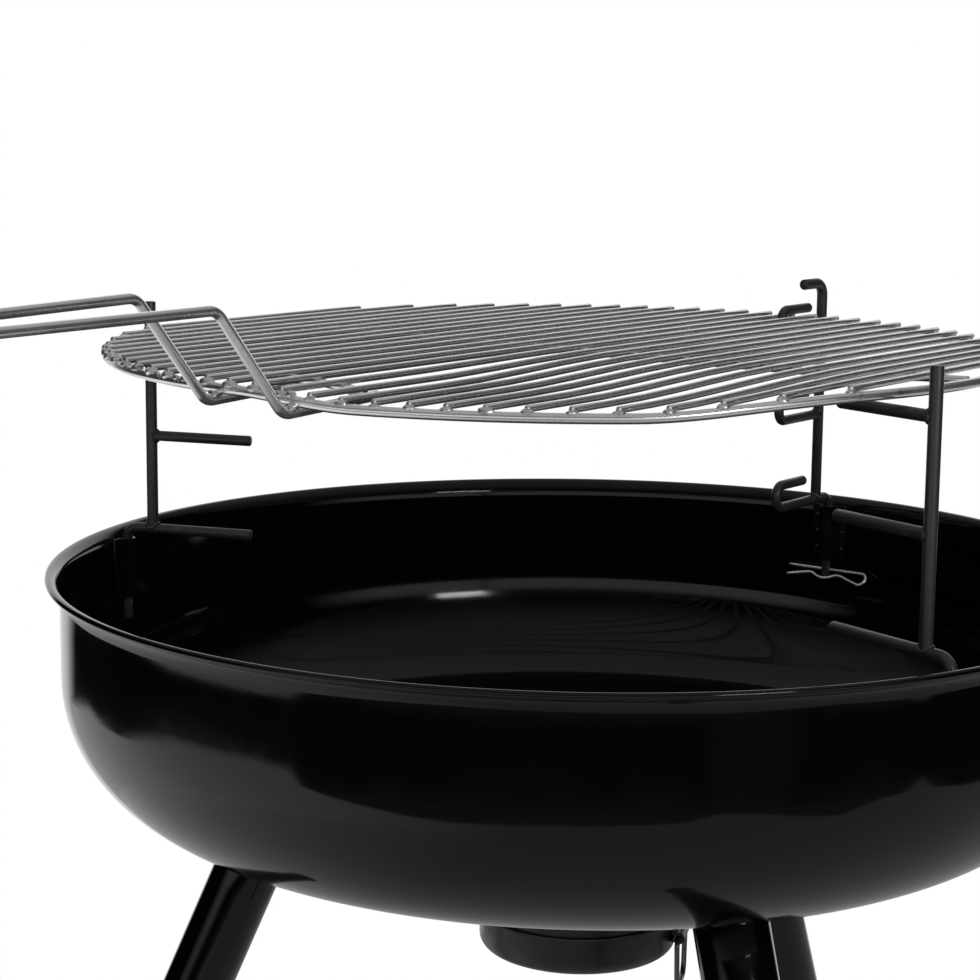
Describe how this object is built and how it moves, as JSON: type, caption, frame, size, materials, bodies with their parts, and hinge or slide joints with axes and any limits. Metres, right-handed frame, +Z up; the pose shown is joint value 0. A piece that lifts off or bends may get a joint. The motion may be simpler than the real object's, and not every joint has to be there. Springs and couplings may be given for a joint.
{
  "type": "fire pit grill",
  "caption": "Round enamelled bowl on splayed tube legs, with rod supports that hold a long-handled wire grill grate above it at different heights, and an ash pot below.",
  "frame": {"origin": "middle of the whole outline, on the ground; the bowl's axis is the vertical line at Y = 0.0479 m", "axes": "+Z up, -Y towards the end of the grate's handle, +X to the right seen from the handle's side"},
  "size_m": [0.6778, 0.8725, 0.7628],
  "materials": {
    "black_enamel": "gloss black vitreous enamel",
    "satin_black": "satin black heat-proof paint",
    "chromed_wire": "bright chrome-plated steel wire",
    "zinc_bolt": "zinc-plated steel",
    "foot_rubber": "matt black rubber"
  },
  "bodies": {
    "stand": {"bowl": "black_enamel", "leg_left": "black_enamel", "leg_right": "black_enamel", "leg_back": "black_enamel", "foot_cap_left": "foot_rubber", "foot_cap_right": "foot_rubber", "foot_cap_back": "foot_rubber", "leg_bolt_left": "zinc_bolt", "leg_bolt_right": "zinc_bolt", "leg_bolt_back": "zinc_bolt", "ash_collar": "satin_black", "socket_left": "satin_black", "socket_right": "satin_black", "socket_back": "satin_black", "back_post": "satin_black", "back_low_hook": "satin_black", "back_middle_hook": "satin_black", "back_top_hook": "satin_black", "r_clip": "chromed_wire"},
    "left_support": {"left_post": "satin_black", "left_low_arm": "satin_black", "left_middle_arm": "satin_black", "left_top_arm": "satin_black"},
    "right_support": {"right_post": "satin_black", "right_low_arm": "satin_black", "right_middle_arm": "satin_black", "right_top_arm": "satin_black"},
    "grate": {"grate_ring": "chromed_wire", "grate_bars": "chromed_wire", "grate_handle": "chromed_wire"},
    "ash_pot": {"ash_pot": "satin_black", "ash_pot_knuckle": "satin_black"},
    "pull_ring": {"ash_pull_ring": "chromed_wire"}
  },
  "joints": [
    {"name": "grate_tilt", "type": "hinge", "parent": "stand", "child": "grate", "pos_m": [0, 0.27824, 0.7158], "axis": [-1, 0, 0], "range_deg": [0, 75]},
    {"name": "left_support_swivel", "type": "hinge", "parent": "stand", "child": "left_support", "pos_m": [-0.26253, -0.04045, 0.6], "axis": [0, 0, 1], "range_deg": [-75, 75]},
    {"name": "right_support_swivel", "type": "hinge", "parent": "stand", "child": "right_support", "pos_m": [0.26253, -0.04045, 0.6], "axis": [0, 0, 1], "range_deg": [-75, 75]},
    {"name": "ash_pot_drop", "type": "slide", "parent": "stand", "child": "ash_pot", "axis": [0, 0, -1], "range_m": [0, 0.04]},
    {"name": "pull_ring_swing", "type": "hinge", "parent": "ash_pot", "child": "pull_ring", "pos_m": [0.05363, 0.07178, 0.393], "axis": [0.4067, -0.9135, 0], "range_deg": [-5, 85]}
  ]
}
